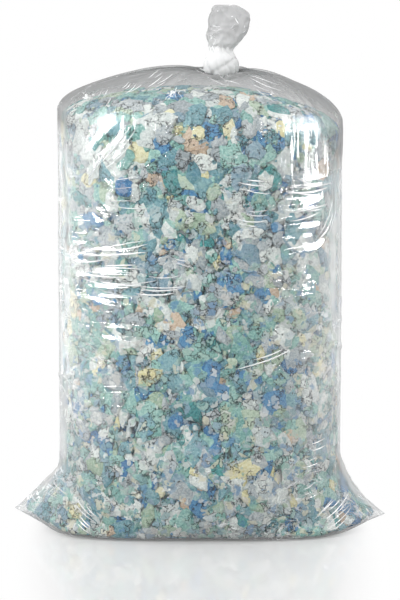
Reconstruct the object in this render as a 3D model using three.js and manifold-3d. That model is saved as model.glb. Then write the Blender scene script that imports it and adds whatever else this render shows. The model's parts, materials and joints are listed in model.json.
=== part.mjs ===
// Clear film bag of shredded memory foam, standing on its base and tied shut with a knot in its own neck.
// Millimetres, +Z up, front towards -Y. The origin is on the floor, under the middle of the bag.
import * as THREE from "three";
import { mergeVertices } from "three/addons/utils/BufferGeometryUtils.js";
import Module from "manifold-3d";

const wasm = await Module();
wasm.setup();

// Film bag
const filmGauge = 0.1;
const bodyWidth = 410;
const bodyDepth = 272;
const bodySquareness = 0.88;
const footSideTuck = 22;
const footFrontTuck = 29;
const filmSlack = 3;
const earSpan = 546;
const earTipLeft = 27;
const earTipRight = 18;
const earTopLeft = 96;
const earTopRight = 124;
const earFlareLeft = 1.35;
const earFlareRight = 2.3;
const earTaper = 2.3;
const earFrontTuck = 11;
const cornerWeld = 2;
const shoulderLeft = 612;
const shoulderRight = 594;
const shoulderFrontDrop = 34;
const domeHeight = 674;
const domeRoundLeft = 2;
const domeRoundRight = 1.7;
const domeRoundFront = 2.3;

// Gathered neck, knot and tail
const neckOffset = 31;
const neckRadius = 9;
const pleatDepth = 5;
const funnelRise = 3;
const knotLift = 8;
const wrapRadius = 14.5;
const wrapThickness = 17;
const wrapTilt = 0.32;
const waistRadius = 15;
const puffRadius = 29;
const puffLean = 13;
const puffFlatness = 0.72;
const puffHeight = 741;
const tailTop = 762;
const mouthRadius = 14;
const mouthWall = 4;
const neckBore = 2.5;
const tailPleat = 0.14;

// Shredded foam
const seatGap = 0.3;
const sideClearance = 3;
const earVoid = 40;
const shoulderVoid = 14;
const fillTopHeight = 650;
const chipWidth = 34;
const chipHeight = 38;
const creviceDepth = 10;
const chipRelief = 5;
const chipInset = 0.13;
const chipJitter = 0.5;

// Fineness of the meshes
const pleats = 22;
const filmColumns = 2 * pleats;
const domeRows = 8;
const tailColumns = 20;
const tailRows = 18;
const capCells = 8;
const fillColumns = 4 * capCells;

const { lerp, clamp } = THREE.MathUtils;
const mix = (from, to, share) => lerp(from, to, clamp(share, 0, 1));
const power = (value, exponent) => Math.sign(value) * Math.abs(value) ** exponent;

// Random numbers that are the same on every run.
function seededRandom(seed) {
  let state = seed;
  return () => {
    state = (state * 16807) % 2147483647;
    return state / 2147483647;
  };
}

// A value that goes from one side of the bag to the other. Across is -1 at the left edge and 1 at the right.
const sideways = (across, left, right) => mix(left, right, 0.5 + 0.5 * across);

const tipHeight = (across) => sideways(across, earTipLeft, earTipRight);
const earTop = (across) => sideways(across, earTopLeft, earTopRight);
const shoulderHeight = (across) =>
  sideways(across, shoulderLeft, shoulderRight) - shoulderFrontDrop * (1 - across * across);

// Half-width, half-depth and taper towards the side edges, at a height below the shoulder.
function lowerSection(z, across, span) {
  const tip = tipHeight(across);
  const fullDepth = bodyDepth / 2;
  const earDepth = fullDepth - earFrontTuck;
  if (z < tip) {
    const rise = z / tip;
    return {
      reach: mix(bodyWidth / 2 - footSideTuck, span / 2, rise ** 0.8),
      depth: mix(fullDepth - footFrontTuck, earDepth, rise ** 0.7),
      taper: mix(bodySquareness, earTaper, rise),
    };
  }
  const rest = 1 - clamp((z - tip) / (earTop(across) - tip), 0, 1);
  return {
    reach: mix(bodyWidth / 2, span / 2, rest ** sideways(across, earFlareLeft, earFlareRight)),
    depth: mix(fullDepth, earDepth, rest ** 2),
    taper: mix(bodySquareness, earTaper, rest ** 1.5),
  };
}

// A point of the bag's wall below the shoulder, moved outwards by shift.
function wallPoint(angle, z, span, shift) {
  const across = Math.cos(angle);
  const section = lowerSection(z, across, span);
  return new THREE.Vector3(
    (section.reach + shift) * power(across, bodySquareness),
    (section.depth + shift) * power(Math.sin(angle), section.taper),
    z,
  );
}

// A point of the rounded top. Turn runs from 0 at the shoulder to a quarter turn at the neck.
function domePoint(angle, turn, dome) {
  const side = Math.cos(angle);
  const roundness = mix(domeRoundFront, sideways(side, domeRoundLeft, domeRoundRight), side * side);
  const out = Math.max(Math.cos(turn), 0) ** (2 / roundness);
  const up = Math.sin(turn) ** (2 / roundness);
  const across = power(Math.cos(angle), bodySquareness);
  const inwards = power(Math.sin(angle), bodySquareness);
  return new THREE.Vector3(
    mix(dome.radius * Math.cos(angle), (bodyWidth / 2 + dome.shift) * across, out) + dome.offset * (1 - out),
    mix(dome.radius * Math.sin(angle), (bodyDepth / 2 + dome.shift) * inwards, out),
    lerp(shoulderHeight(Math.cos(angle)) - dome.drop, dome.top, up),
  );
}

// A closed mesh from rings of equal length, capped at both ends. Rings run anticlockwise seen from the last one, and
// each four-sided patch is split along its shorter diagonal, as measured on the guide rings.
function loftGeometry(rings, guide = rings) {
  const count = rings[0].length;
  const points = rings.flat();
  const faces = [];
  for (let r = 0; r < rings.length - 1; r++) {
    for (let c = 0; c < count; c++) {
      const next = (c + 1) % count;
      const low = r * count;
      const high = low + count;
      const rising = guide[r][c].distanceTo(guide[r + 1][next]);
      const falling = guide[r][next].distanceTo(guide[r + 1][c]);
      if (rising < falling) {
        faces.push(low + c, low + next, high + next, low + c, high + next, high + c);
      } else {
        faces.push(low + c, low + next, high + c, low + next, high + next, high + c);
      }
    }
  }
  const middles = [rings[0], rings.at(-1)].map((ring) =>
    ring.reduce((sum, p) => sum.add(p), new THREE.Vector3()).divideScalar(count));
  const lastRing = (rings.length - 1) * count;
  points.push(...middles);
  for (let c = 0; c < count; c++) {
    const next = (c + 1) % count;
    faces.push(points.length - 2, next, c);
    faces.push(points.length - 1, lastRing + c, lastRing + next);
  }
  return indexedGeometry(points, faces);
}

function indexedGeometry(points, faces) {
  const geometry = new THREE.BufferGeometry().setFromPoints(points);
  geometry.setIndex(faces);
  geometry.computeVertexNormals();
  return geometry;
}

function solidOf(geometry) {
  const bare = geometry.clone();
  bare.deleteAttribute("normal");
  bare.deleteAttribute("uv");
  const merged = mergeVertices(bare, 1e-4);
  return new wasm.Manifold(new wasm.Mesh({
    numProp: 3,
    vertProperties: new Float32Array(merged.attributes.position.array),
    triVerts: new Uint32Array(merged.index.array),
  }));
}

function geometryOf(solid) {
  const mesh = solid.getMesh();
  const geometry = new THREE.BufferGeometry();
  geometry.setAttribute("position", new THREE.BufferAttribute(mesh.vertProperties, 3));
  geometry.setIndex(new THREE.BufferAttribute(mesh.triVerts, 1));
  geometry.computeVertexNormals();
  return geometry;
}

const columnAngles = (count) => Array.from({ length: count }, (_, c) => (2 * Math.PI * c) / count);

// Rings of the bag's wall from the flat foot to the gathered neck, with slack in the wall and with pleats that deepen
// towards the neck. Inset draws the whole wall in, and span is the distance between its bottom corners.
function bagRings(span, inset) {
  const random = seededRandom(11);
  const pleatShare = Array.from({ length: filmColumns }, (_, c) => (c % 2 ? -1 : 1) * (0.5 + 0.5 * random()));
  const angles = columnAngles(filmColumns);
  const dome = { shift: -inset, radius: neckRadius - inset, offset: neckOffset, drop: 0, top: domeHeight - inset };
  const rings = [];
  for (const share of [0, 0.4, 1]) {
    rings.push(angles.map((a) => {
      const point = wallPoint(a, share * tipHeight(Math.cos(a)), span, -inset);
      point.z += inset * (1 - share);
      return point;
    }));
  }
  rings.unshift(rings[0].map((p) => new THREE.Vector3(0.9 * p.x, 0.9 * p.y, p.z)));
  for (const share of [0.14, 0.34, 0.62, 1]) {
    rings.push(angles.map((a) => {
      const across = Math.cos(a);
      return wallPoint(a, mix(tipHeight(across), earTop(across), share), span, -inset);
    }));
  }
  for (const share of [0.2, 0.4, 0.6, 0.8]) {
    rings.push(angles.map((a) => {
      const across = Math.cos(a);
      const height = mix(earTop(across), shoulderHeight(across), share);
      return wallPoint(a, height, span, filmSlack * random() - inset);
    }));
  }
  for (let row = 0; row <= domeRows; row++) {
    const turn = (Math.PI / 2) * (row / domeRows) ** 1.25;
    const gather = Math.sin(turn) ** 3 * (1 - (row / domeRows) ** 8);
    rings.push(angles.map((a, c) => {
      const point = domePoint(a, turn, dome);
      point.z += pleatDepth * gather * pleatShare[c];
      if (row === domeRows) point.z += funnelRise;
      return point;
    }));
  }
  return rings;
}

// Outline of the gathered film, as radius and height: out of the dome, through the knot to a waist, and up into the
// puffed tail, which leans over and narrows to its open mouth.
function tailOutline() {
  const knotTop = domeHeight + knotLift + wrapThickness;
  return new THREE.SplineCurve([
    new THREE.Vector2(neckRadius, domeHeight - neckRadius),
    new THREE.Vector2(waistRadius, domeHeight + knotLift + wrapThickness / 2),
    new THREE.Vector2(waistRadius, knotTop),
    new THREE.Vector2((waistRadius + puffRadius) / 2, (knotTop + puffHeight) / 2),
    new THREE.Vector2(puffRadius, puffHeight),
    new THREE.Vector2((puffRadius + mouthRadius) / 2, tailTop - mouthWall),
    new THREE.Vector2(mouthRadius, tailTop),
  ]);
}

// Rings of the gathered film up its outline. Width gives each ring's radius, pleat folds it in at every other column,
// and overrun lifts the last ring.
function tailRings(width, pleat, overrun) {
  const random = seededRandom(5);
  const foldShare = Array.from({ length: tailColumns }, (_, c) => (c % 2 ? 1 : 0.4 * random()));
  const outline = tailOutline();
  const rings = [];
  for (let r = 0; r <= tailRows; r++) {
    const share = r / tailRows;
    const { x: radius, y: height } = outline.getPoint(share);
    const swell = clamp((radius - waistRadius) / (puffRadius - waistRadius), 0, 1);
    const middle = neckOffset + puffLean * swell;
    const flatness = mix(1, puffFlatness, swell);
    rings.push(columnAngles(tailColumns).map((a, c) => {
      const reach = width(share, radius) * (1 - pleat * foldShare[c]);
      const lift = r === tailRows ? overrun : 0;
      return new THREE.Vector3(middle + reach * Math.cos(a), flatness * reach * Math.sin(a), height + lift);
    }));
  }
  return rings;
}

// One turn of the knot: a ring of gathered film laid round the neck at a slant.
function knotWrap(tilt, lift) {
  const ring = new THREE.TorusGeometry(wrapRadius, wrapThickness / 2, 8, 20);
  ring.rotateY(tilt);
  ring.translate(neckOffset, 0, domeHeight + knotLift + wrapThickness / 2 + lift);
  return ring;
}

// The bag's film in one piece: body, gathered neck, knot and tail, open inside from the foot to the tail's mouth.
// The two layers are welded together in the bottom corners.
function bagFilm() {
  const wall = bagRings(earSpan, 0);
  const hollow = bagRings(earSpan - 2 * cornerWeld, filmGauge);
  const outside = (share, radius) => radius;
  const inside = (share) => mix(neckBore, mouthRadius - mouthWall, (share - 0.4) / 0.6);
  return solidOf(loftGeometry(wall))
    .add(solidOf(loftGeometry(tailRings(outside, tailPleat, 0))))
    .add(solidOf(knotWrap(wrapTilt, 0)))
    .add(solidOf(knotWrap(-wrapTilt, wrapThickness / 6)))
    .subtract(solidOf(loftGeometry(hollow, wall)))
    .subtract(solidOf(loftGeometry(tailRings(inside, 0, mouthWall))));
}

// Corner points of the foam's surface: rings of them up the wall, then a square grid of them over the top.
function foamCorners() {
  const random = seededRandom(29);
  const shift = -filmGauge - sideClearance;
  const base = filmGauge + seatGap;
  const span = earSpan - 2 * earVoid;
  const dome = { shift, radius: 0, offset: 0, drop: shoulderVoid, top: fillTopHeight };
  const shoulderTurns = [0.3, 0.65];
  const wallRows = Math.round(shoulderLeft / chipHeight);
  const angleOf = (column) => ((2 * Math.PI) / fillColumns) * column + Math.PI / 4;
  const rings = [];
  for (let row = 0; row <= wallRows + shoulderTurns.length; row++) {
    const loose = row > 0 && row < wallRows ? chipJitter : 0;
    rings.push(Array.from({ length: fillColumns }, (_, column) => {
      const angle = angleOf(column + loose * (random() - 0.5));
      if (row > wallRows) return domePoint(angle, shoulderTurns[row - wallRows - 1], dome);
      const share = (row + loose * (random() - 0.5)) / wallRows;
      const height = mix(base, shoulderHeight(Math.cos(angle)) - shoulderVoid, share);
      return wallPoint(angle, height, span, shift);
    }));
  }
  return { rings, top: topGrid(rings.at(-1), dome, random) };
}

// The top's grid of corner points. Its edge is the last ring of the wall.
function topGrid(edge, dome, random) {
  const middle = new THREE.Vector3(0, 0, dome.top);
  const grid = [];
  for (let j = 0; j <= capCells; j++) {
    for (let i = 0; i <= capCells; i++) {
      const u = (2 * i) / capCells - 1;
      const v = (2 * j) / capCells - 1;
      const out = Math.max(Math.abs(u), Math.abs(v));
      const rim = edge[edgeColumn(i, j, out)];
      const fall = 1 - Math.sqrt(Math.max(1 - out * out * 0.96, 0));
      const loose = out < 1 ? (chipJitter * chipWidth) / 2 : 0;
      const point = middle.clone().lerp(rim, out);
      point.z = lerp(dome.top, rim.z, out === 1 ? 1 : fall);
      point.x += loose * (random() - 0.5);
      point.y += loose * (random() - 0.5);
      grid.push(point);
    }
  }
  return grid;
}

// The column of the edge ring that lies outwards of a grid corner, with column 0 at the grid's far right corner.
function edgeColumn(i, j, out) {
  if (out === 0) return 0;
  const half = capCells / 2;
  const u = Math.round((half * (i - half)) / (half * out));
  const v = Math.round((half * (j - half)) / (half * out));
  if (v === half) return (half - u) % fillColumns;
  if (u === -half) return capCells + (half - v);
  if (v === -half) return 2 * capCells + (u + half);
  return (3 * capCells + (v + half)) % fillColumns;
}

// The packed foam as one body. Each cell between four corner points is a chip with a flat, slightly tilted face,
// and deep creases part it from its neighbours.
function foamFill() {
  const random = seededRandom(47);
  const { rings, top } = foamCorners();
  const corners = rings.flat();
  const edgeStart = corners.length - fillColumns;
  const topIndex = [];
  for (let j = 0; j <= capCells; j++) {
    for (let i = 0; i <= capCells; i++) {
      const out = Math.max(Math.abs((2 * i) / capCells - 1), Math.abs((2 * j) / capCells - 1));
      if (out === 1) {
        topIndex.push(edgeStart + edgeColumn(i, j, out));
      } else {
        topIndex.push(corners.length);
        corners.push(top[j * (capCells + 1) + i]);
      }
    }
  }

  const cells = [];
  for (let r = 0; r < rings.length - 1; r++) {
    for (let c = 0; c < fillColumns; c++) {
      const next = (c + 1) % fillColumns;
      const low = r * fillColumns;
      const high = low + fillColumns;
      cells.push([low + c, low + next, high + next, high + c]);
    }
  }
  for (let j = 0; j < capCells; j++) {
    for (let i = 0; i < capCells; i++) {
      const low = j * (capCells + 1) + i;
      const high = low + capCells + 1;
      cells.push([topIndex[low], topIndex[low + 1], topIndex[high + 1], topIndex[high]]);
    }
  }

  const normals = cornerNormals(corners, cells);
  const points = corners.map((p, i) => (i < fillColumns ? p : p.clone().addScaledVector(normals[i], -creviceDepth)));
  const faces = [];
  for (const cell of cells) {
    const middle = cell.reduce((sum, i) => sum.add(corners[i]), new THREE.Vector3()).divideScalar(4);
    const outwards = cell.reduce((sum, i) => sum.add(normals[i]), new THREE.Vector3()).normalize();
    const sunk = chipRelief * random();
    const first = points.length;
    for (const i of cell) {
      const corner = corners[i].clone().lerp(middle, chipInset);
      points.push(corner.addScaledVector(outwards, -sunk - chipRelief * 0.4 * random()));
    }
    for (let k = 0; k < 4; k++) {
      const next = (k + 1) % 4;
      faces.push(cell[k], cell[next], first + next, cell[k], first + next, first + k);
    }
    faces.push(first, first + 1, first + 2, first, first + 2, first + 3);
  }
  points.push(new THREE.Vector3(0, 0, corners[0].z));
  for (let c = 0; c < fillColumns; c++) {
    faces.push(points.length - 1, (c + 1) % fillColumns, c);
  }
  return indexedGeometry(points, faces);
}

// Outward direction at each corner, from the cells that meet there.
function cornerNormals(corners, cells) {
  const faces = cells.flatMap(([a, b, c, d]) => [a, b, c, a, c, d]);
  const normal = indexedGeometry(corners, faces).attributes.normal;
  return corners.map((_, i) => new THREE.Vector3().fromBufferAttribute(normal, i));
}

const clearFilm = new THREE.MeshStandardMaterial({
  color: 0xe3e8ea, roughness: 0.12, metalness: 0, transparent: true, opacity: 0.3,
});
const foam = new THREE.MeshStandardMaterial({ color: 0xa9cbd2, roughness: 0.95, metalness: 0 });

function piece(name, geometry, material) {
  const mesh = new THREE.Mesh(geometry, material);
  mesh.name = name;
  return mesh;
}

const bag = new THREE.Group();
bag.add(piece("film_bag", geometryOf(bagFilm()), clearFilm));
bag.add(piece("shredded_foam", foamFill(), foam));

export default bag;
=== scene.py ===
import json
import math
import bpy
import bmesh
import numpy as np
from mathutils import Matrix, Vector, noise
from mathutils.bvhtree import BVHTree

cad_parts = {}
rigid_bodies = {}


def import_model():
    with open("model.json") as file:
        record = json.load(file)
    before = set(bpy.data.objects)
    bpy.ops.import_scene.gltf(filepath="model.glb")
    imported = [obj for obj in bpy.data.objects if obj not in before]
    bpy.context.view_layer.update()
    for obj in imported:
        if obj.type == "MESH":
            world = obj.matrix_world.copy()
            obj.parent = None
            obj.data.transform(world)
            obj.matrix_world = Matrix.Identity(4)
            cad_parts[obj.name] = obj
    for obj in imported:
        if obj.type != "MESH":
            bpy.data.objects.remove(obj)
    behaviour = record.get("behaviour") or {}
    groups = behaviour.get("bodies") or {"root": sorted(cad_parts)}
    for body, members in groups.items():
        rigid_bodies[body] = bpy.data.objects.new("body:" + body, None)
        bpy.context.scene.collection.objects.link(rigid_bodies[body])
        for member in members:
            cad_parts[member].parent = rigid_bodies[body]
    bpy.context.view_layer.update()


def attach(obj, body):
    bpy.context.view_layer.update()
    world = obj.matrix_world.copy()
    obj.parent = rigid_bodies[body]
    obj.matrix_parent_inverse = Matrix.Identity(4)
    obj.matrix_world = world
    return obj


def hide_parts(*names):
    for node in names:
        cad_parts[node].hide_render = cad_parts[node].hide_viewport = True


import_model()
scene = bpy.context.scene
scene.view_settings.view_transform = "Standard"
print("frame loaded")

# camera
cameraSet = {"focal": 115.0, "distance": 2.8, "elevation": 6.0, "aim": (0.0, 0.0, 0.334)}
cameraData = bpy.data.cameras.new("photoCamera")
cameraData.lens = cameraSet["focal"]
cameraObject = bpy.data.objects.new("photoCamera", cameraData)
scene.collection.objects.link(cameraObject)
tilt = math.radians(cameraSet["elevation"])
aim = Vector(cameraSet["aim"])
cameraObject.location = aim + cameraSet["distance"] * Vector((0, -math.cos(tilt), math.sin(tilt)))
cameraObject.rotation_euler = (math.pi / 2 - tilt, 0, 0)
scene.camera = cameraObject

# bag form, in metres, the same sizes as the solids; a curve is the power a size grows by on the way up
bag = {
    "width": 0.41, "depth": 0.272, "squareness": 0.88,
    "footSideTuck": 0.011, "footFrontTuck": 0.031, "footSquareness": 0.5, "footCurve": (0.62, 0.7),
    "earSpan": 0.546, "earTip": (0.027, 0.018), "earTop": (0.096, 0.124), "earFlare": (1.35, 2.3),
    "earTaper": 1.55, "earFrontTuck": 0.011, "earCurve": (2, 1.5),
    "shoulder": (0.612, 0.594), "shoulderFrontDrop": 0.034, "domeTop": 0.674, "domeRound": (2.0, 1.7, 2.3),
    "neckOffset": 0.031, "neckRadius": 0.009,
}


def linkMesh(name, points, faces):
    mesh = bpy.data.meshes.new(name)
    mesh.from_pydata([tuple(p) for p in points], [], faces)
    mesh.update()
    mesh.polygons.foreach_set("use_smooth", [True] * len(mesh.polygons))
    piece = bpy.data.objects.new(name, mesh)
    scene.collection.objects.link(piece)
    return piece


def storeValues(piece, name, values):  # one value at each point, for the finish
    piece.data.attributes.new(name, "FLOAT", "POINT").data.foreach_set("value", values)


def fullTurn(count):
    return np.linspace(0, 2 * np.pi, count, endpoint=False)


def blend(first, second, share):
    return first + (second - first) * share


def sideways(across, pair):  # from the left side's value to the right side's
    return blend(pair[0], pair[1], 0.5 + 0.5 * across)


def signedPower(value, exponent):
    return np.sign(value) * np.abs(value) ** exponent


def shoulderHeight(across):
    return sideways(across, bag["shoulder"]) - bag["shoulderFrontDrop"] * (1 - across ** 2)


def wallPoints(angle, z, span, shift):  # the wall below the shoulder, moved outwards by shift
    across = np.cos(angle)
    tip = sideways(across, bag["earTip"])
    top = sideways(across, bag["earTop"])
    rise = np.clip(z / tip, 0, 1)
    rest = 1 - np.clip((z - tip) / (top - tip), 0, 1)
    under = z < tip
    halfWidth = bag["width"] / 2
    halfDepth = bag["depth"] / 2
    earDepth = halfDepth - bag["earFrontTuck"]
    square = bag["squareness"]
    footSquare = bag["footSquareness"]
    footWiden, footDeepen = bag["footCurve"]
    earDeepen, earSharpen = bag["earCurve"]
    reach = np.where(
        under,
        blend(halfWidth - bag["footSideTuck"], span / 2, rise ** footWiden),
        blend(halfWidth, span / 2, rest ** sideways(across, bag["earFlare"])),
    )
    depth = np.where(
        under,
        blend(halfDepth - bag["footFrontTuck"], earDepth, rise ** footDeepen),
        blend(halfDepth, earDepth, rest ** earDeepen),
    )
    taper = np.where(
        under,
        blend(footSquare, bag["earTaper"], rise),
        blend(square, bag["earTaper"], rest ** earSharpen),
    )
    x = (reach + shift) * signedPower(across, np.where(under, blend(footSquare, square, rise), square))
    y = (depth + shift) * signedPower(np.sin(angle), taper)
    return np.stack([x, y, z + 0 * angle], axis=-1)


def domePoints(angle, turn, shift, radius, offset, drop, top):  # turn goes up to 90 degrees at the neck
    side = np.cos(angle)
    left, right, front = bag["domeRound"]
    roundness = blend(front, sideways(side, (left, right)), side ** 2)
    out = np.maximum(np.cos(turn), 0) ** (2 / roundness)
    up = np.sin(turn) ** (2 / roundness)
    reach = (bag["width"] / 2 + shift) * signedPower(side, bag["squareness"])
    depth = (bag["depth"] / 2 + shift) * signedPower(np.sin(angle), bag["squareness"])
    x = blend(radius * side, reach, out) + offset * (1 - out)
    y = blend(np.sin(angle) * radius, depth, out)
    return np.stack([x, y, blend(shoulderHeight(side) - drop, top, up)], axis=-1)


def ringGrid(rings, closeBottom=True, closeTop=False):  # points and quads from equal rings, bottom first
    count = len(rings[0])
    points = np.concatenate(rings)
    faces = []
    for r in range(len(rings) - 1):
        for c in range(count):
            n = (c + 1) % count
            faces.append((r * count + c, r * count + n, (r + 1) * count + n, (r + 1) * count + c))
    if closeBottom:
        points = np.concatenate([points, rings[0].mean(axis=0)[None]])
        faces += [((c + 1) % count, c, len(points) - 1) for c in range(count)]
    if closeTop:
        points = np.concatenate([points, rings[-1].mean(axis=0)[None]])
        last = (len(rings) - 1) * count
        faces += [(last + c, last + (c + 1) % count, len(points) - 1) for c in range(count)]
    return points, faces


# room the foam takes up: the form the film settles on, and a nearer one the chips are pressed against
fill = {
    "clearance": 0.0042, "chipClearance": 0.0037, "base": 0.0032, "earVoid": 0.007, "shoulderVoid": 0.013,
    "top": 0.646, "columns": 120, "rows": 70, "rowCurve": 1.15, "domeRows": 26,
    "footRings": (0.25, 0.5, 0.75),
}


def fillForm(name, clearance):
    angle = fullTurn(fill["columns"])
    span = bag["earSpan"] - 2 * fill["earVoid"]
    foot = wallPoints(angle, np.zeros_like(angle), span, -clearance)
    rings = [foot * (s, s, 1) for s in fill["footRings"]]
    top = shoulderHeight(np.cos(angle)) - fill["shoulderVoid"]
    for share in np.linspace(0, 1, fill["rows"]) ** fill["rowCurve"]:
        rings.append(wallPoints(angle, top * share, span, -clearance))
    for turn in np.linspace(0, np.pi / 2, fill["domeRows"])[1:-1]:
        rings.append(domePoints(angle, turn, -clearance, 0.0, 0.0, fill["shoulderVoid"], fill["top"]))
    for ring in rings:
        ring[:, 2] = np.maximum(ring[:, 2], fill["base"])
    points, faces = ringGrid(rings, closeTop=True)
    return linkMesh(name, points, faces)


fillBed = fillForm("fillForm", fill["clearance"])
chipBed = fillForm("chipForm", fill["chipClearance"])
print("fill form made", len(fillBed.data.vertices))

# film of the bag
film = {
    "seed": 7, "columns": 132, "footRows": 5, "footSpan": (0.06, 0.9), "underRows": 7, "earRows": 16,
    "earRowCurve": 1.2, "wallRows": 100, "domeRows": 40, "neckRows": 4, "neckRise": 0.01, "neckShrink": 0.3,
    "neckDip": 0.016, "dipReach": 0.048, "dipForward": 0.028,
    "pleat": {
        "columns": 4, "fold": (1.0, 0.25, -0.9, 0.1), "size": 0.0075, "height": (0.35, 0.65),
        "reach": (0.25, 0.75), "reachCurve": 1.5, "gatherCurve": 1.6, "fade": 0.75, "fadeCurve": 10,
    },
    "settle": {
        "grow": 1.045, "girth": 1.008, "frames": 28, "cap": 0.008, "heldRows": 4,
        "bed": {"thickness_outer": 0.002, "cloth_friction": 8},
        "cloth": {
            "quality": 6, "mass": 0.12, "air_damping": 2.0, "use_pressure": True,
            "uniform_pressure_force": -0.6, "tension_stiffness": 40, "compression_stiffness": 40,
            "shear_stiffness": 12, "bending_stiffness": 0.05, "tension_damping": 8, "compression_damping": 8,
            "shear_damping": 8, "bending_damping": 0.4,
        },
        "contact": {"distance_min": 0.001, "collision_quality": 3, "use_self_collision": False},
    },
    "arcLength": (0.155, 0.02), "creaseBend": 0.1, "creaseCurve": 1.5,
    "vary": {
        "step": (0.75, 1.25), "lean": 3, "slide": 0.006, "length": (0.55, 1.2),
        "tall": (0.5, 1.15), "wide": (0.8, 1.2),
    },
    "creases": [  # x and z of the middle, length, lean in degrees, how many, step, fan, height, width
        (-0.1, 0.372, 0.13, -2, 7, 0.0125, 1.6, 0.0032, 0.0046),
        (-0.15, 0.395, 0.07, 6, 3, 0.015, 2.0, 0.0026, 0.0046),
        (-0.14, 0.56, 0.11, 58, 5, 0.012, 2.5, 0.0016, 0.005),
        (-0.095, 0.298, 0.09, 3, 2, 0.016, 2.0, 0.0028, 0.0044),
        (0.124, 0.452, 0.088, 6, 6, 0.0135, -2.2, 0.003, 0.0046),
        (0.15, 0.5, 0.07, 14, 3, 0.016, -4.0, 0.0024, 0.0048),
        (0.09, 0.392, 0.08, -3, 2, 0.014, 2.0, 0.0028, 0.0044),
        (0.166, 0.11, 0.05, 28, 5, 0.019, 3.0, 0.0008, 0.0042),
        (0.196, 0.036, 0.046, 42, 6, 0.012, 4.0, 0.0012, 0.004),
        (-0.168, 0.034, 0.044, -40, 5, 0.01, -4.0, 0.0012, 0.004),
        (-0.205, 0.06, 0.05, -30, 4, 0.013, -4.0, 0.0016, 0.0042),
        (0.01, 0.24, 0.09, 4, 2, 0.02, 2.0, 0.0014, 0.005),
    ],
    "backCreases": {  # with ranges of z, length, height and width
        "count": 62, "front": 1.25, "lean": 22,
        "ranges": [(0.06, 0.56), (0.03, 0.11), (0.0006, 0.0018), (0.0036, 0.0055)],
    },
    "shoulderFolds": {
        "count": 58, "lean": 7,
        "ranges": [(0.54, 0.64), (0.07, 0.2), (0.0006, 0.0019), (0.0036, 0.0075)],
    },
    "dimple": 0.0003, "dimpleSize": 0.017,
    "liftFoot": (0.004, 0.02), "liftNeck": (0.02, 0.03), "liftLeast": 0.15,
    "lowest": 0.0004, "gatherFrom": -0.002, "gatherRise": 0.044,
    "cornerDrop": (0.055, 0.085), "cornerFrom": (0.6, 0.74), "cornerReach": 0.16,
    "footLine": 0.112, "footWave": 0.014, "footWaves": 40,
}


def filmRings():
    rng = np.random.default_rng(film["seed"])
    pleat = film["pleat"]
    columns = film["columns"]
    angle = fullTurn(columns)
    across = np.cos(angle)
    foot = wallPoints(angle, np.zeros(columns), bag["earSpan"], 0.0)
    rings = [foot * (s, s, 1) for s in np.linspace(*film["footSpan"], film["footRows"])]
    tip = sideways(across, bag["earTip"])
    top = sideways(across, bag["earTop"])
    parts = [
        (0 * tip, tip, film["underRows"], 1),
        (tip, top, film["earRows"], film["earRowCurve"]),
        (top, shoulderHeight(across), film["wallRows"], 1),
    ]
    for low, high, rows, curve in parts:
        for share in np.linspace(0, 1, rows, endpoint=False) ** curve:
            rings.append(wallPoints(angle, blend(low, high, share), bag["earSpan"], 0.0))
    pleats = columns // pleat["columns"]
    height = pleat["height"][0] + pleat["height"][1] * rng.random(pleats)
    reach = pleat["reach"][0] + pleat["reach"][1] * rng.random(pleats) ** pleat["reachCurve"]
    for turn in np.linspace(0, np.pi / 2, film["domeRows"]):
        ring = domePoints(angle, turn, 0.0, bag["neckRadius"], bag["neckOffset"], 0.0, bag["domeTop"])
        share = turn / (np.pi / 2)
        for p in range(pleats):
            gather = np.clip((share - (1 - reach[p])) / reach[p], 0, 1) ** pleat["gatherCurve"]
            gather = gather * (1 - pleat["fade"] * share ** pleat["fadeCurve"])
            for k, fold in enumerate(pleat["fold"]):
                ring[p * pleat["columns"] + k, 2] += pleat["size"] * height[p] * fold * gather
        away = np.hypot(ring[:, 0] - bag["neckOffset"], ring[:, 1] + film["dipForward"])
        ring[:, 2] -= film["neckDip"] * np.exp(-((away / film["dipReach"]) ** 2))
        rings.append(ring)
    neck = rings[-1]
    middle = (bag["neckOffset"], 0)
    for k in range(1, film["neckRows"] + 1):
        share = k / film["neckRows"]
        ring = neck.copy()
        ring[:, :2] = (neck[:, :2] - middle) * (1 - film["neckShrink"] * share) + middle
        ring[:, 2] = neck[:, 2] + film["neckRise"] * share
        rings.append(ring)
    return np.array(rings)


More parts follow.
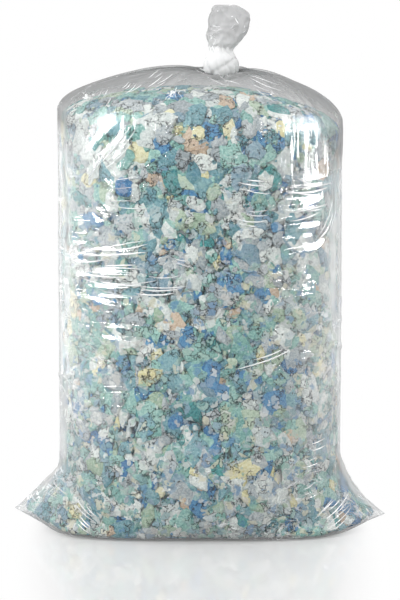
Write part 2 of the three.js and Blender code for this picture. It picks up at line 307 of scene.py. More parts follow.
def settleFilm(rings):  # lets slightly too much film settle on the foam, so that it wrinkles
    settle = film["settle"]
    points, faces = ringGrid(list(rings))
    piece = linkMesh("settlingFilm", points, faces)
    rows, count = rings.shape[:2]
    piece.shape_key_add(name="Basis")
    slack = piece.shape_key_add(name="slack")
    slack.data.foreach_set("co", (points * (settle["girth"], settle["girth"], settle["grow"])).ravel())
    slack.value = 0.0
    hold = piece.vertex_groups.new(name="hold")
    held = rows - film["neckRows"] - settle["heldRows"]
    hold.add(list(range((film["footRows"] + 1) * count)) + [rows * count], 1.0, "REPLACE")
    hold.add(list(range(held * count, rows * count)), 1.0, "REPLACE")
    fillBed.modifiers.new("bed", "COLLISION")
    cloth = piece.modifiers.new("film", "CLOTH")
    targets = {"bed": fillBed.collision, "cloth": cloth.settings, "contact": cloth.collision_settings}
    for part, target in targets.items():
        for key, value in settle[part].items():
            setattr(target, key, value)
    cloth.settings.vertex_group_mass = "hold"
    cloth.settings.rest_shape_key = slack
    cloth.settings.effector_weights.gravity = 0
    cloth.point_cache.frame_start = 1
    cloth.point_cache.frame_end = settle["frames"]
    for frameNumber in range(1, settle["frames"] + 1):
        scene.frame_set(frameNumber)
    result = piece.evaluated_get(bpy.context.evaluated_depsgraph_get())
    move = np.array([v.co for v in result.data.vertices]) - points
    bpy.data.objects.remove(piece)
    fillBed.modifiers.clear()
    scene.frame_set(1)
    size = np.linalg.norm(move, axis=1)
    print("film settled, mean and largest move in mm", size.mean() * 1000, size.max() * 1000)
    move *= np.minimum(1, settle["cap"] / np.maximum(size, 1e-9))[:, None]
    return rings + move[: rows * count].reshape(rings.shape)


def doubled(grid):  # twice as many rings and columns, on smooth curves through the old ones
    before, after, far = np.roll(grid, 1, 1), np.roll(grid, -1, 1), np.roll(grid, -2, 1)
    between = (9 * (grid + after) - before - far) / 16
    wide = np.stack([grid, between], axis=2).reshape(grid.shape[0], -1, 3)
    padded = np.concatenate([wide[:1], wide, wide[-1:]])
    between = (9 * (padded[1:-2] + padded[2:-1]) - padded[:-3] - padded[3:]) / 16
    tall = np.stack([wide[:-1], between], axis=1).reshape(-1, wide.shape[1], 3)
    return np.concatenate([tall, wide[-1:]])


def gridNormals(grid):
    around = np.roll(grid, -1, 1) - np.roll(grid, 1, 1)
    normal = np.cross(around, np.gradient(grid, axis=0))
    return normal / np.maximum(np.linalg.norm(normal, axis=2), 1e-9)[..., None]


def creaseSpots(rng, arc):  # place round the bag, z, length, slope, height and width of each crease
    vary = film["vary"]
    spots = []

    def addDrawn(side, slope, ranges):
        z, length, tall, wide = [rng.uniform(*pair) for pair in ranges]
        spots.append((arc(side), z, length, slope, tall, wide))

    for midX, midZ, length, lean, count, step, fan, tall, wide in film["creases"]:
        start = arc(np.arcsin(np.clip(midX / (0.5 * bag["width"]), -1, 1)))
        for k in range(count):
            at = k - (count - 1) / 2
            shift = at * step * rng.uniform(*vary["step"])
            slope = math.radians(lean + fan * at + rng.normal(0, vary["lean"]))
            spots.append((
                start - shift * math.sin(slope) + rng.normal(0, vary["slide"]),
                midZ + shift * math.cos(slope),
                length * rng.uniform(*vary["length"]), slope,
                tall * rng.uniform(*vary["tall"]), wide * rng.uniform(*vary["wide"]),
            ))
    back = film["backCreases"]
    for _ in range(back["count"]):
        side = rng.uniform(back["front"], 2 * np.pi - back["front"])
        side = side - 2 * np.pi if side > np.pi else side
        slope = math.radians(rng.normal(0, back["lean"]))
        addDrawn(side, slope, back["ranges"])
    upper = film["shoulderFolds"]
    for _ in range(upper["count"]):
        slope = math.radians(90 + rng.normal(0, upper["lean"]))
        addDrawn(rng.uniform(-np.pi, np.pi), slope, upper["ranges"])
    return spots


def creaseHeights(grid):  # how far each point of the film stands out along the creases
    mean, swing = film["arcLength"]

    def arc(value):
        return value * (mean + swing * np.cos(2 * value))

    height = np.zeros(grid.shape[:2])
    x, y, z = grid[..., 0], grid[..., 1], grid[..., 2]
    place = arc(np.arctan2(x / bag["width"], -y / bag["depth"]))  # 0 at the middle of the front
    whole = 2 * arc(np.pi)
    for across, up, length, slope, tall, wide in creaseSpots(np.random.default_rng(film["seed"] + 1), arc):
        du = (place - across + whole / 2) % whole - whole / 2
        dz = z - up
        along = du * math.cos(slope) + dz * math.sin(slope)
        bent = film["creaseBend"] * along ** 2 / length
        off = -du * math.sin(slope) + dz * math.cos(slope) - bent
        near = np.clip(1 - (2 * np.abs(along) / length) ** 2, 0, 1) ** film["creaseCurve"]
        height += tall * near * np.exp(-((off / wide) ** 2))
    return height


def dimples(grid):  # soft unevenness where the foam presses on the film
    places = grid.reshape(-1, 3) / film["dimpleSize"]
    return np.array([noise.noise(Vector(p)) for p in places]).reshape(grid.shape[:2])


rings = filmRings()
rings = settleFilm(rings)
rings = doubled(rings)
fromFoot = (rings[..., 2] - film["liftFoot"][0]) / film["liftFoot"][1]
fromNeck = (bag["domeTop"] - film["liftNeck"][0] - rings[..., 2]) / film["liftNeck"][1]
lifted = np.clip(fromFoot, 0, 1) * np.clip(fromNeck, film["liftLeast"], 1)
relief = lifted * (creaseHeights(rings) + film["dimple"] * dimples(rings))
rings = rings + gridNormals(rings) * relief[..., None]
rings[..., 2] = np.maximum(rings[..., 2], film["lowest"])
filmPoints, filmFaces = ringGrid(list(rings))
filmBody = linkMesh("film_body", filmPoints, filmFaces)
across = np.cos(fullTurn(rings.shape[1]))
side = np.sign(across)
# the gather reaches lower at the shoulder corners, where it dulls the glints and paints the film a darker
# grey as painted shade
corner = np.clip((np.abs(across) - sideways(side, film["cornerFrom"])) / film["cornerReach"], 0, 1)
start = shoulderHeight(across) + film["gatherFrom"] - sideways(side, film["cornerDrop"]) * corner
gather = np.clip((rings[..., 2] - start) / film["gatherRise"], 0, 1)
storeValues(filmBody, "gather", np.append(gather.ravel(), 0.0))
middles = np.array([filmPoints[list(face)].mean(axis=0) for face in filmFaces])
waves = np.array([noise.noise(Vector(p) * film["footWaves"]) for p in middles])
inFoot = middles[:, 2] < film["footLine"] + film["footWave"] * waves
filmBody.data.polygons.foreach_set("material_index", inFoot.astype(int))  # the foot is duller, and its darker grey is painted shade near the floor
print("film made", len(filmPoints))

# knot in the gathered neck: a pleated bulb, with a slanting groove where the neck turns round itself
knot = {
    "columns": 112, "rows": 60, "smooth": 3, "folds": 13, "foldDepth": 0.09, "foldCurve": 0.7,
    "foldMiddle": 0.7, "endDepth": 1.5, "wander": (0.2, 0.13), "twist": 0.9, "depth": 0.86,
    "middle": (0.0312, -0.002),
    "profile": [  # radius and height
        (0.013, 0.653), (0.0188, 0.6566), (0.0224, 0.661), (0.0246, 0.666), (0.0252, 0.6715), (0.025, 0.677),
        (0.0238, 0.6825), (0.021, 0.687), (0.0178, 0.6905), (0.0158, 0.6945), (0.015, 0.699), (0.015, 0.704),
    ],
    "groove": {"height": 0.6715, "rise": 0.015, "width": 0.003, "depth": 0.062, "step": 0.026},
}


def smoothLine(marks, rows, reach):  # a smooth run of values through a few marks
    marks = np.array(marks)
    at = np.linspace(0, len(marks) - 1, rows)
    line = np.stack([np.interp(at, np.arange(len(marks)), column) for column in marks.T], axis=-1)
    even = np.ones(2 * reach + 1) / (2 * reach + 1)
    for k in range(marks.shape[1]):
        line[reach:-reach, k] = np.convolve(line[:, k], even, mode="valid")
    return line


def bulbRings():
    a = fullTurn(knot["columns"])
    groove = knot["groove"]
    slow, quick = knot["wander"]
    rings = []
    for row, (radius, height) in enumerate(smoothLine(knot["profile"], knot["rows"], knot["smooth"])):
        share = row / (knot["rows"] - 1)
        wander = slow * np.sin(3 * a + 1.0 + 2 * share) + quick * np.sin(5 * a + 2.0)
        fold = np.abs(np.sin(0.5 * knot["folds"] * (a + wander + knot["twist"] * share)))
        fold = fold ** knot["foldCurve"] - knot["foldMiddle"]
        reach = radius * (1 + knot["foldDepth"] * (knot["endDepth"] - np.sin(np.pi * share)) * 2 * fold)
        above = (height - groove["height"] - groove["rise"] * np.cos(a)) / groove["width"]
        reach *= 1 + groove["step"] * np.tanh(above) - groove["depth"] / np.cosh(above) ** 2
        x = knot["middle"][0] + reach * np.cos(a)
        y = knot["middle"][1] + knot["depth"] * reach * np.sin(a)
        rings.append(np.stack([x, y, height + 0 * a], axis=-1))
    return rings


knotPoints, knotFaces = ringGrid(bulbRings(), closeTop=True)
filmKnot = linkMesh("film_knot", knotPoints, knotFaces)
print("knot made", len(knotPoints))

# puffed tail above the knot
tail = {
    "columns": 132, "rows": 72, "smooth": 3, "seed": 21, "flatness": 0.66,
    "swellFrom": 0.012, "swellOver": 0.0165, "folds": 7, "foldDepth": 0.065, "foldCurve": 0.8,
    "foldMiddle": 0.62, "foldRise": 0.0016, "wander": (0.35, 0.2), "waveDepth": 0.035, "fineFolds": 17,
    "fineDepth": 0.03, "fineFade": 2.2, "crumple": 0.005, "crumpleSize": 0.017, "crumpleMiddle": 0.3,
    "crumpleFine": (0.45, 2.3), "crumpleEnds": (0.25, 0.75), "gatherTop": 0.722, "gatherFall": 0.026,
    "outline": [  # half width, height and middle
        (0.012, 0.686, 0.031), (0.0148, 0.692, 0.0307), (0.0172, 0.699, 0.031), (0.0236, 0.709, 0.0352),
        (0.0282, 0.72, 0.0392), (0.0288, 0.731, 0.0412), (0.0292, 0.742, 0.043), (0.0262, 0.752, 0.0412),
        (0.019, 0.7595, 0.0372), (0.0085, 0.7612, 0.035), (0.005, 0.755, 0.035),
    ],
}


def crumpled(place):  # flat facets with sharp ridges between them
    spot = Vector(place) / tail["crumpleSize"]
    share, scale = tail["crumpleFine"]
    return tail["crumpleMiddle"] - abs(noise.noise(spot)) - share * abs(noise.noise(spot * scale))


def tailRings():
    rng = np.random.default_rng(tail["seed"])
    a = fullTurn(tail["columns"])
    phase = rng.random(6) * 6.28
    slow, quick = tail["wander"]
    ends, rest = tail["crumpleEnds"]
    rings = []
    for row, (radius, height, middle) in enumerate(smoothLine(tail["outline"], tail["rows"], tail["smooth"])):
        share = row / (tail["rows"] - 1)
        swell = np.clip((radius - tail["swellFrom"]) / tail["swellOver"], 0, 1)
        wander = slow * np.sin(2 * a + phase[0] + 2 * share) + quick * np.sin(3 * a + phase[1] - 3 * share)
        fold = np.abs(np.sin(0.5 * tail["folds"] * (a + wander) + phase[2]))
        fold = fold ** tail["foldCurve"] - tail["foldMiddle"]
        wave = np.sin(4 * a + phase[3] + 5 * share)
        fine = np.sin(tail["fineFolds"] * a + 3 * np.sin(2 * a + phase[4]) + phase[5])
        fine = fine * np.clip(1 - tail["fineFade"] * share, 0, 1)
        reach = radius * (1 + tail["foldDepth"] * fold + tail["waveDepth"] * wave + tail["fineDepth"] * fine)
        flat = 1 + (tail["flatness"] - 1) * swell
        up = height + tail["foldRise"] * fold * swell
        ring = np.stack([middle + reach * np.cos(a), flat * reach * np.sin(a), up], axis=-1)
        crumple = np.array([crumpled(p) for p in ring]) * tail["crumple"] * (ends + rest * swell)
        ring[:, 0] += crumple * np.cos(a)
        ring[:, 1] += crumple * np.sin(a)
        rings.append(ring)
    return rings


tailPoints, tailFaces = ringGrid(tailRings(), closeBottom=False)
filmTail = linkMesh("film_tail", tailPoints, tailFaces)
storeValues(filmTail, "gather", np.clip((tail["gatherTop"] - tailPoints[:, 2]) / tail["gatherFall"], 0, 1))
print("tail made", len(tailPoints))

# thin sharp creases, white along the folds: partly the whitening of folded film, partly painted highlights
# where the film would catch the lamps
crease = {
    "steps": 26, "ends": 0.97, "taper": 0.6, "fade": 0.5, "ridge": 0.0005, "ridgeEnds": (0.4, 0.6),
    "sunk": 0.0003, "reach": 0.6, "tilt": 6.0, "seed": 31,
    "vary": {
        "lean": 2.5, "shift": (-0.38, 0.38), "slide": 0.16, "length": (0.5, 1.2), "bend": (0.04, 0.03),
        "wide": (0.6, 1.25), "strength": (0.6, 1.1),
    },
    "sheaf": {
        "count": 24, "size": 3, "step": 0.0065, "azimuth": (75, 285), "aside": 0.45, "height": (0.06, 0.6),
        "lean": 20, "length": (0.03, 0.08), "spread": 0.008, "lengthBy": (0.5, 1.1), "leanBy": 0.05,
        "bend": (0.03, 0.03), "wide": (0.0007, 0.0012), "strength": (0.4, 0.85),
    },
    "groups": [  # x and z as seen from the front, length, lean, how many, step, fan, width, strength
        (-0.118, 0.378, 0.085, -2, 11, 0.0066, 1.6, 0.0011, 0.85),
        (-0.06, 0.352, 0.08, 2, 5, 0.006, 1.5, 0.001, 0.75),
        (-0.022, 0.384, 0.032, -16, 2, 0.006, 3.0, 0.0008, 0.55),
        (-0.112, 0.48, 0.046, 4, 4, 0.012, 3.0, 0.0009, 0.55),
        (-0.12, 0.54, 0.07, 48, 4, 0.007, 3.0, 0.001, 0.6),
        (0.078, 0.492, 0.04, -9, 3, 0.0065, 3.0, 0.0009, 0.6),
        (0.078, 0.446, 0.042, -3, 4, 0.008, 3.0, 0.001, 0.55),
        (0.152, 0.508, 0.044, -14, 4, 0.0055, 3.0, 0.0012, 0.85),
        (0.15, 0.486, 0.056, 6, 3, 0.006, 4.0, 0.0013, 0.9),
        (0.152, 0.452, 0.044, 16, 4, 0.0075, -3.0, 0.0012, 0.8),
        (0.166, 0.126, 0.044, 20, 2, 0.009, 3.0, 0.0012, 0.9),
        (0.162, 0.096, 0.03, 14, 3, 0.008, 4.0, 0.0009, 0.75),
        (0.16, 0.058, 0.026, 26, 3, 0.0075, 4.0, 0.0008, 0.6),
        (0.196, 0.027, 0.044, 40, 8, 0.0052, 2.0, 0.0009, 0.85),
        (-0.168, 0.022, 0.04, -42, 6, 0.0052, -2.0, 0.0009, 0.85),
        (-0.206, 0.052, 0.03, -26, 3, 0.006, -3.0, 0.0007, 0.5),
        (-0.096, 0.634, 0.024, 42, 4, 0.006, 4.0, 0.0008, 0.7),
        (-0.056, 0.646, 0.026, 40, 5, 0.0055, 4.0, 0.0008, 0.7),
        (-0.132, 0.622, 0.02, 60, 3, 0.008, 6.0, 0.0008, 0.6),
        (0.03, 0.64, 0.05, -28, 2, 0.009, 4.0, 0.0008, 0.5),
        (0.09, 0.632, 0.05, -24, 4, 0.0075, 4.0, 0.0008, 0.45),
        (0.052, 0.736, 0.009, -62, 1, 0.002, 0.0, 0.0009, 0.75),
        (0.046, 0.742, 0.004, 25, 1, 0.002, 0.0, 0.0009, 0.6),
        (0.048, 0.726, 0.008, 40, 2, 0.005, 20.0, 0.0006, 0.4),
        (0.063, 0.728, 0.005, 76, 1, 0.002, 0.0, 0.0008, 0.55),
        (0.064, 0.721, 0.006, 30, 1, 0.002, 0.0, 0.0008, 0.55),
        (0.026, 0.75, 0.004, 12, 1, 0.002, 0.0, 0.0009, 0.6),
        (0.006, 0.664, 0.02, -32, 3, 0.004, 9.0, 0.0008, 0.6),
        (0.03, 0.654, 0.024, -44, 2, 0.006, 12.0, 0.0007, 0.55),
    ],
}


def creaseStrokes():  # azimuth of the view it is laid out in, x, z, length, slope, bend, width and strength
    rng = np.random.default_rng(crease["seed"])
    vary = crease["vary"]
    sheaf = crease["sheaf"]
    strokes = []
    for midX, midZ, length, lean, count, step, fan, wide, strength in crease["groups"]:
        for k in range(count):
            at = k - (count - 1) / 2
            slope = math.radians(lean + fan * at + rng.normal(0, vary["lean"]))
            shift = (at + rng.uniform(*vary["shift"])) * step
            slide = rng.normal(0, vary["slide"]) * length
            x = midX - shift * math.sin(slope) + slide * math.cos(slope)
            z = midZ + shift * math.cos(slope) + slide * math.sin(slope)
            strokes.append((
                0.0, x, z, length * rng.uniform(*vary["length"]), slope, rng.normal(*vary["bend"]),
                wide * rng.uniform(*vary["wide"]), strength * rng.uniform(*vary["strength"]),
            ))
    for _ in range(sheaf["count"]):  # on the sides and back they come in small sheaves
        azimuth = rng.uniform(*sheaf["azimuth"])
        across = bag["width"] if abs(azimuth - 180) < 45 else bag["depth"]
        x = rng.normal(0, sheaf["aside"]) * 0.5 * across
        z = rng.uniform(*sheaf["height"])
        slope = math.radians(rng.normal(0, sheaf["lean"]))
        length = rng.uniform(*sheaf["length"])
        for k in range(sheaf["size"]):
            strokes.append((
                azimuth, x + rng.normal(0, sheaf["spread"]), z + sheaf["step"] * k,
                length * rng.uniform(*sheaf["lengthBy"]), slope + rng.normal(0, sheaf["leanBy"]),
                rng.normal(*sheaf["bend"]), rng.uniform(*sheaf["wide"]), rng.uniform(*sheaf["strength"]),
            ))
    return strokes


def creaseMesh(surface):  # a closed sliver along each crease, lying in the film
    points, faces, strengths = [], [], []
    dip = math.radians(crease["tilt"])
    ends, rest = crease["ridgeEnds"]
    for azimuth, x, z, length, slope, bend, wide, strength in creaseStrokes():
        a = math.radians(azimuth)
        right = Vector((math.cos(a), math.sin(a), 0))
        ahead = Vector((-math.sin(a) * math.cos(dip), math.cos(a) * math.cos(dip), -math.sin(dip)))
        path = []
        for s in np.linspace(-crease["ends"], crease["ends"], crease["steps"]):
            along = 0.5 * length * s
            off = bend * length * s * s
            u = x + along * math.cos(slope) - off * math.sin(slope)
            v = z + along * math.sin(slope) + off * math.cos(slope)
            start = right * u + Vector((0, 0, v)) - ahead * crease["reach"]
            spot, normal, _, _ = surface.ray_cast(start, ahead)
            if spot is not None:
                path.append((spot, normal, (1 - s * s) ** crease["taper"]))
        if len(path) < crease["steps"]:
            continue
        first = len(points)
        for k, (spot, normal, taper) in enumerate(path):
            tangent = (path[min(k + 1, len(path) - 1)][0] - path[max(k - 1, 0)][0]).normalized()
            side = normal.cross(tangent).normalized() * wide * taper
            ridge = normal * crease["ridge"] * (ends + rest * taper)
            points += [spot + side, spot + ridge, spot - side, spot - normal * crease["sunk"]]
            strengths += [strength * taper ** crease["fade"]] * 4
        for k in range(len(path) - 1):
            row = first + 4 * k
            for c in range(4):
                n = (c + 1) % 4
                faces.append((row + c, row + 4 + c, row + 4 + n, row + n))
        last = first + 4 * (len(path) - 1)
        faces.append((first, first + 1, first + 2, first + 3))
        faces.append((last + 3, last + 2, last + 1, last))
    piece = linkMesh("film_creases", points, faces)
    storeValues(piece, "strength", strengths)
    return piece


shifted = [tuple(k + len(filmPoints) for k in face) for face in tailFaces]
joined = [Vector(p) for p in np.concatenate([filmPoints, tailPoints])]
filmCreaseHighlights = creaseMesh(BVHTree.FromPolygons(joined, filmFaces + shifted))
print("creases made", len(filmCreaseHighlights.data.polygons))

# shredded foam
foam = {
    "seed": 5, "shapes": 16, "chipRadius": 0.0128, "crumbRadius": 0.0046, "bulge": 0.28, "bulgeLimit": 0.002,
    "lowest": 0.0012, "density": 40000, "spare": 0.001,
    "torn": {
        "stretch": (1.0, 0.8, 0.62), "stretchBy": (0.85, 1.25), "cut": (0.42, 0.85), "lump": (0.62, 1.3),
        "grow": 1.12, "sharpAngle": 34,
    },
    "layers": [  # shape, spacing, depth from and to, size from and to, lowest stop, first family, seed
        (0, 0.0134, 0.0035, 0.009, 0.62, 1.85, 0.0044, 0.00, 1),
        (1, 0.014, 0.014, 0.019, 2.6, 3.6, 0.009, 0.1, 2),
        (1, 0.0072, 0.0016, 0.007, 0.42, 1.3, 0.0042, 0.22, 3),
    ],
    "families": [  # name, share, palest and deepest colour as seen on a screen
        ("foam_cream", 0.035, (226, 223, 192), (204, 197, 150)),
        ("foam_peach", 0.022, (206, 188, 168), (176, 154, 130)),
        ("foam_white", 0.238, (226, 230, 226), (186, 194, 192)),
        ("foam_sage", 0.085, (189, 203, 184), (146, 170, 147)),
        ("foam_grey", 0.125, (188, 194, 195), (144, 155, 159)),
        ("foam_mint", 0.21, (164, 200, 191), (102, 153, 147)),
        ("foam_aqua", 0.135, (138, 176, 182), (82, 131, 142)),
        ("foam_mist", 0.05, (152, 174, 184), (100, 134, 150)),
        ("foam_teal", 0.03, (88, 162, 160), (44, 110, 114)),
        ("foam_blue", 0.07, (94, 148, 184), (38, 100, 148)),
    ],
    "shreds": [
        (198, 196, 192), (164, 190, 180), (138, 160, 178), (216, 217, 213), (116, 152, 156), (174, 186, 190),
        (84, 132, 170), (206, 202, 178), (128, 172, 160),
    ],
    "cells": {  # a cloud has a scale and a detail, and the other pairs are smooth steps
        "shredScale": 92.0, "speckScale": 250.0, "tearCloud": (95.0, 6.0), "tear": (0.022, 0.022, 0.022),
        "shredPick": (0.46, 0.52), "shredEdge": (0.0, 0.15), "cleanTop": (0.6, 0.36),
        "crowdCloud": (58.0, 3.0), "crowdPick": (0.47, 0.58), "creviceShade": (0.07, 0.0), "speck": (0.4, 0.12),
        "speckPick": (0.6, 0.7), "mottleCloud": (320.0, 7.0), "darkDepth": -0.5,
    },
    # dark is the colour of the painted crevice shade and of the specks, which are partly pores and partly
    # painted shadow
    "shredCover": 0.72, "toneShare": 0.66, "mottleShare": (2.8, -1.18), "dark": (0.006, 0.018, 0.022, 1),
}


def screenColour(values):  # screen values from 0 to 255, made linear
    shares = [v / 255 for v in values]
    return tuple(v / 12.92 if v < 0.04045 else ((v + 0.055) / 1.055) ** 2.4 for v in shares)


def tornShapes(name, radius, detail, cuts):  # lumps torn flat on several sides, with a few dozen faces
    rng = np.random.default_rng(foam["seed"] + detail)
    torn = foam["torn"]
    shapes = bpy.data.collections.new(name)
    for number in range(foam["shapes"]):
        work = bmesh.new()
        bmesh.ops.create_icosphere(work, subdivisions=detail, radius=1.0)
        stretch = np.array(torn["stretch"]) * rng.uniform(*torn["stretchBy"], 3)
        planes = rng.normal(size=(cuts, 3))
        planes /= np.linalg.norm(planes, axis=1)[:, None]
        offsets = rng.uniform(*torn["cut"], cuts)
        for vert in work.verts:
            place = np.array(vert.co) * rng.uniform(*torn["lump"])
            for plane, offset in zip(planes, offsets):
                place = place - plane * max(0.0, float(place @ plane) - offset)
            vert.co = Vector(place * stretch * radius * torn["grow"])
        bmesh.ops.recalc_face_normals(work, faces=work.faces)
        for edge in work.edges:
            edge.smooth = edge.calc_face_angle(0.0) < math.radians(torn["sharpAngle"])
        for face in work.faces:
            face.smooth = True
        mesh = bpy.data.meshes.new("%s%02d" % (name, number))
        work.to_mesh(mesh)
        work.free()
        shapes.objects.link(bpy.data.objects.new(mesh.name, mesh))
    return shapes


def feed(tree, node, feeds):  # links an input to the socket it is given, or sets it to the value
    for key, value in feeds.items():
        if isinstance(value, bpy.types.NodeSocket):
            tree.links.new(value, node.inputs[key])
        else:
            node.inputs[key].default_value = value


def addNode(tree, kind, feeds=None, **values):  # nodes are laid out in rows, in the order they are made
    node = tree.nodes.new(kind)
    node.location = (220 * (len(tree.nodes) % 9), -320 * (len(tree.nodes) // 9))
    for key, value in values.items():
        setattr(node, key, value)
    feed(tree, node, feeds or {})
    return node


def addMath(tree, operation, *feeds, **values):
    return addNode(tree, "ShaderNodeMath", dict(enumerate(feeds)), operation=operation, **values).outputs[0]


def addVector(tree, operation, feeds):
    return addNode(tree, "ShaderNodeVectorMath", feeds, operation=operation).outputs


def addStep(tree, value, low, high, start=0.0, end=1.0):  # a smooth step from start at low to end at high
    feeds = {"Value": value, "From Min": low, "From Max": high, "To Min": start, "To Max": end}
    return addNode(tree, "ShaderNodeMapRange", feeds, interpolation_type="SMOOTHSTEP").outputs[0]


def addMix(tree, share, first, second, **values):  # a mix of two colours
    feeds = {0: share, 6: first, 7: second}
    return addNode(tree, "ShaderNodeMix", feeds, data_type="RGBA", **values).outputs[2]


def addShaderMix(tree, share, first, second):
    return addNode(tree, "ShaderNodeMixShader", {0: share, 1: first, 2: second}).outputs[0]


def newMaterial(name, feeds):  # the feeds go to its Principled shader
    material = bpy.data.materials.new(name)
    material.use_nodes = True
    shader = material.node_tree.nodes["Principled BSDF"]
    feed(material.node_tree, shader, feeds)
    return material, material.node_tree, shader


def newGroup(name, inputs, outputs):  # inputs are given as name and value, outputs as name and kind of socket
    group = bpy.data.node_groups.new(name, "ShaderNodeTree")
    for key, value in inputs.items():
        group.interface.new_socket(key, in_out="INPUT", socket_type="NodeSocketFloat").default_value = value
    for key, kind in outputs.items():
        group.interface.new_socket(key, in_out="OUTPUT", socket_type=kind)
    return group


def foamTree(chipShapes, crumbShapes):  # scatters chips under a form, keeps one family, and presses it flat
    tree = bpy.data.node_groups.new("scatterFoam", "GeometryNodeTree")
    face = tree.interface
    face.new_socket("Geometry", in_out="INPUT", socket_type="NodeSocketGeometry")
    sockets = {"From": "NodeSocketFloat", "To": "NodeSocketFloat", "Finish": "NodeSocketMaterial"}
    for name, kind in sockets.items():
        face.new_socket(name, in_out="INPUT", socket_type=kind)
    face.new_socket("Geometry", in_out="OUTPUT", socket_type="NodeSocketGeometry")
    inputs = addNode(tree, "NodeGroupInput").outputs
    form = inputs["Geometry"]

    def drawn(seed, low, high, kind="FLOAT"):  # a random value for each chip
        first = {"FLOAT_VECTOR": 0, "FLOAT": 2, "INT": 4}[kind]
        feeds = {first: low, first + 1: high, "Seed": seed}
        return addNode(tree, "FunctionNodeRandomValue", feeds, data_type=kind).outputs[first // 2]

    def compared(operation, value, limit):
        feeds = {0: value, 1: limit}
        return addNode(tree, "FunctionNodeCompare", feeds, data_type="FLOAT", operation=operation).outputs[0]

    def stored(geometry, name, value):
        feeds = {"Geometry": geometry, "Name": name, "Value": value}
        node = addNode(tree, "GeometryNodeStoreNamedAttribute", feeds, data_type="FLOAT", domain="INSTANCE")
        return node.outputs[0]

    kinds = []
    for shapes in (chipShapes, crumbShapes):
        feeds = {"Collection": shapes, "Separate Children": True, "Reset Children": True}
        kinds.append(addNode(tree, "GeometryNodeCollectionInfo", feeds).outputs[0])
    join = addNode(tree, "GeometryNodeJoinGeometry")
    fullCircle = (6.283, 6.283, 6.283)
    for kind, spacing, near, deep, small, large, stop, first, seed in foam["layers"]:
        feeds = {"Mesh": form, "Distance Min": spacing, "Density Max": foam["density"], "Seed": seed}
        spread = addNode(tree, "GeometryNodeDistributePointsOnFaces", feeds, distribute_method="POISSON")
        family = drawn(100 + seed, first, 1.0)
        above = compared("GREATER_EQUAL", family, inputs["From"])
        below = compared("LESS_THAN", family, inputs["To"])
        both = addNode(tree, "FunctionNodeBooleanMath", {0: above, 1: below}, operation="AND")
        depth = drawn(200 + seed, -near, -deep)
        inward = addVector(tree, "SCALE", {0: spread.outputs["Normal"], "Scale": depth})
        feeds = {"Geometry": spread.outputs["Points"], "Offset": inward[0]}
        sunk = addNode(tree, "GeometryNodeSetPosition", feeds)
        placed = addNode(tree, "GeometryNodeInstanceOnPoints", {
            "Points": sunk.outputs[0], "Selection": both.outputs[0],
            "Instance": kinds[kind], "Pick Instance": True,
            "Instance Index": drawn(300 + seed, 0, foam["shapes"] - 1, "INT"),
            "Rotation": drawn(400 + seed, (0, 0, 0), fullCircle, "FLOAT_VECTOR"),
            "Scale": drawn(500 + seed, small, large),
        })
        toned = stored(placed.outputs[0], "tone", drawn(600 + seed, 0.0, 1.0))
        tree.links.new(stored(toned, "press", drawn(700 + seed, 0.0, stop)), join.inputs[0])
    real = addNode(tree, "GeometryNodeRealizeInstances", {0: join.outputs[0]})
    place = addNode(tree, "GeometryNodeInputPosition").outputs[0]
    nearest = addNode(tree, "GeometryNodeProximity", {0: form}, target_element="FACES").outputs["Position"]
    facing = addNode(tree, "GeometryNodeInputNormal").outputs[0]
    feeds = {"Mesh": form, "Value": facing, "Sample Position": place}
    sample = addNode(tree, "GeometryNodeSampleNearestSurface", feeds, data_type="FLOAT_VECTOR")
    normal = sample.outputs["Value"]
    away = addVector(tree, "SUBTRACT", {0: place, 1: nearest})[0]
    height = addVector(tree, "DOT_PRODUCT", {0: away, 1: normal})["Value"]
    press = addNode(tree, "GeometryNodeInputNamedAttribute", {"Name": "press"}, data_type="FLOAT").outputs[0]
    over = addMath(tree, "MAXIMUM", addMath(tree, "ADD", height, press), 0.0)
    decay = addMath(tree, "EXPONENT", addMath(tree, "MULTIPLY", over, -foam["bulge"] / foam["bulgeLimit"]))
    left = addMath(tree, "MULTIPLY_ADD", decay, -foam["bulgeLimit"], foam["bulgeLimit"])  # the bulge left
    push = addVector(tree, "SCALE", {0: normal, "Scale": addMath(tree, "SUBTRACT", left, over)})[0]
    flat = addNode(tree, "GeometryNodeSetPosition", {"Geometry": real.outputs[0], "Offset": push}).outputs[0]
    painted = addNode(tree, "GeometryNodeSetMaterial", {"Geometry": flat, "Material": inputs["Finish"]})
    addNode(tree, "NodeGroupOutput", {0: painted.outputs[0]})
    return tree


